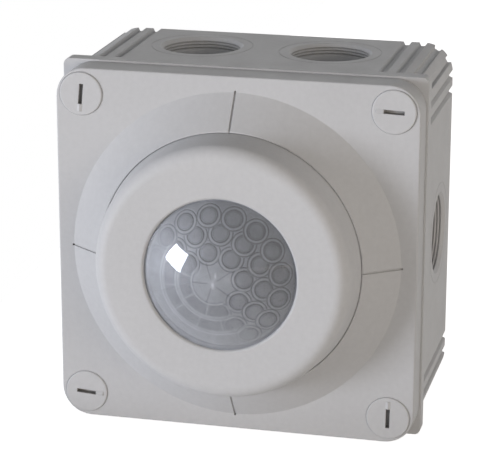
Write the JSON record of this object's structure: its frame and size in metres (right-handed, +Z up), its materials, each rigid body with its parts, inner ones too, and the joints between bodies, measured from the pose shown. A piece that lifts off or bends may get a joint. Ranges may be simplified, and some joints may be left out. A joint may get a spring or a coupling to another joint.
{
  "type": "movement sensor",
  "caption": "Square weatherproof junction box with a screwed lid that carries a round bezel and a domed faceted lens over a passive infrared movement sensor.",
  "frame": {"origin": "centre of the flat back face that sits on the wall or ceiling", "axes": "+Y is the outward normal of the back face, towards the wall; the lens faces -Y; +Z is up and +X is to the right as seen from the front"},
  "size_m": [0.1112, 0.0872, 0.1112],
  "materials": {
    "enclosure_plastic": "fine satin grain, pale grey",
    "screw_plastic": "satin, pale grey",
    "bezel_plastic": "satin, pale grey",
    "lens_plastic": "translucent smoky white with moulded facets",
    "housing_plastic": "dark grey, fine grain",
    "seal_foam": "closed-cell foam",
    "seal_rubber": "smooth black",
    "zinc_steel": "zinc plated",
    "circuit_board": "green solder resist",
    "spacer_plastic": "natural nylon",
    "plated_can": "nickel plated",
    "filter_glass": "dark infrared filter",
    "plated_lead": "tinned wire",
    "photocell_face": "clear resin over a sensing track",
    "lamp_plastic": "clear red resin",
    "relay_case": "blue moulding",
    "capacitor_sleeve": "black shrink sleeve",
    "film_capacitor": "yellow box",
    "surge_coating": "blue epoxy",
    "connector_plastic": "black moulding",
    "terminal_plastic": "grey moulding",
    "trimmer_plastic": "blue moulding",
    "adjuster_plastic": "cream moulding"
  },
  "bodies": {
    "base": {"enclosure_base": "enclosure_plastic"},
    "lid": {"lid": "enclosure_plastic", "lid_gasket": "seal_foam", "lens": "lens_plastic", "lens_seal": "seal_rubber", "lens_retainer": "housing_plastic", "sensor_housing": "housing_plastic", "housing_seal": "seal_rubber", "housing_screws": "zinc_steel", "rear_cover": "housing_plastic", "sensor_board": "circuit_board", "power_board": "circuit_board", "board_spacers": "spacer_plastic", "board_screws": "zinc_steel", "pyro_sensor_can": "plated_can", "pyro_filter_window": "filter_glass", "pyro_leads": "plated_lead", "daylight_photocell": "photocell_face", "indicator_lamp": "lamp_plastic", "relay": "relay_case", "electrolytic_capacitor": "capacitor_sleeve", "suppression_capacitor": "film_capacitor", "surge_suppressor": "surge_coating", "board_socket": "connector_plastic", "board_pins": "connector_plastic", "terminal_block": "terminal_plastic", "terminal_screws": "zinc_steel", "time_trimmer": "trimmer_plastic", "daylight_trimmer": "trimmer_plastic"},
    "bezel": {"bezel": "bezel_plastic"},
    "lid_screw_top_left": {"lid_screw_top_left": "screw_plastic"},
    "lid_screw_top_right": {"lid_screw_top_right": "screw_plastic"},
    "lid_screw_bottom_left": {"lid_screw_bottom_left": "screw_plastic"},
    "lid_screw_bottom_right": {"lid_screw_bottom_right": "screw_plastic"},
    "time_adjuster": {"time_adjuster": "adjuster_plastic"},
    "daylight_adjuster": {"daylight_adjuster": "adjuster_plastic"}
  },
  "joints": [
    {"name": "lid_lift", "type": "slide", "parent": "base", "child": "lid", "axis": [0, -1, 0], "range_m": [0, 0.06]},
    {"name": "bezel_pull", "type": "slide", "parent": "lid", "child": "bezel", "axis": [0, -1, 0], "range_m": [0, 0.02]},
    {"name": "screw_turn_top_left", "type": "hinge", "parent": "lid", "child": "lid_screw_top_left", "pos_m": [-0.0472, -0.06, 0.0472], "axis": [0, -1, 0], "range_deg": [0, 90]},
    {"name": "screw_turn_top_right", "type": "hinge", "parent": "lid", "child": "lid_screw_top_right", "pos_m": [0.0472, -0.06, 0.0472], "axis": [0, -1, 0], "range_deg": [0, 90]},
    {"name": "screw_turn_bottom_left", "type": "hinge", "parent": "lid", "child": "lid_screw_bottom_left", "pos_m": [-0.0472, -0.06, -0.0472], "axis": [0, -1, 0], "range_deg": [0, 90]},
    {"name": "screw_turn_bottom_right", "type": "hinge", "parent": "lid", "child": "lid_screw_bottom_right", "pos_m": [0.0472, -0.06, -0.0472], "axis": [0, -1, 0], "range_deg": [0, 90]},
    {"name": "time_set", "type": "hinge", "parent": "lid", "child": "time_adjuster", "pos_m": [-0.0105, -0.03, 0.01], "axis": [0, 1, 0], "range_deg": [-135, 135]},
    {"name": "daylight_set", "type": "hinge", "parent": "lid", "child": "daylight_adjuster", "pos_m": [0.0105, -0.03, 0.01], "axis": [0, 1, 0], "range_deg": [-135, 135]}
  ]
}
